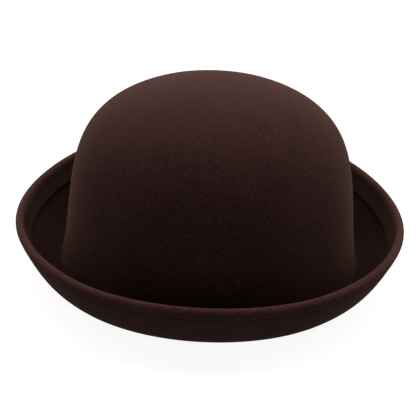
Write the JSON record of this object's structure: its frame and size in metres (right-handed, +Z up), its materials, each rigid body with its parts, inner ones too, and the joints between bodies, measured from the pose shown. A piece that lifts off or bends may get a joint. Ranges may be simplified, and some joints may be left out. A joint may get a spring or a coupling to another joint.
{
  "type": "bowler hat",
  "caption": "Wool felt bowler hat with a rounded dome crown and a brim rolled up all round to a wired, sewn edge; ribbon sweatband with a size adjuster at the back.",
  "frame": {"origin": "on the surface that the hat stands on, below the middle of its bounding box", "axes": "+Z up through the crown; the hat's front faces -Y and its back +Y; the wearer's left is +X"},
  "size_m": [0.2318, 0.2819, 0.1115],
  "materials": {
    "wool_felt": "matt dark brown wool felt, stiffened, faint nap",
    "ribbon": "dark brown ribbed grosgrain ribbon",
    "thread": "dark brown polyester sewing thread",
    "wire": "bright spring wire, hidden in the brim's edge",
    "tape": "flat woven tape",
    "fastener": "nylon hook and loop tape",
    "label": "blank woven satin label"
  },
  "bodies": {
    "hat": {"felt_crown": "wool_felt", "felt_brim": "wool_felt", "brim_wire": "wire", "brim_wire_joiner": "wire", "brim_edge_stitching_outer": "thread", "brim_edge_stitching_inner": "thread", "sweatband": "ribbon", "sweatband_stitching": "thread", "sweatband_end_stitching_left": "thread", "sweatband_end_stitching_right": "thread", "adjuster_tape": "tape", "adjuster_loop_tape": "fastener", "maker_label": "label", "maker_label_stitching": "thread", "care_label_margin": "label", "care_label_stitching": "thread"},
    "size_adjuster": {"adjuster_pull_tape": "tape", "adjuster_hook_tape": "fastener"},
    "hanging_label": {"care_label": "label", "size_tab": "label"}
  },
  "joints": [
    {"name": "size_adjuster_pull", "type": "hinge", "parent": "hat", "child": "size_adjuster", "pos_m": [0, 0.0311, 0.0185], "axis": [0, 0, 1], "range_deg": [0, 18]},
    {"name": "care_label_flip", "type": "hinge", "parent": "hat", "child": "hanging_label", "pos_m": [-0.0786, 0.0021, 0.03135], "axis": [0, -1, 0], "range_deg": [0, 120]}
  ]
}
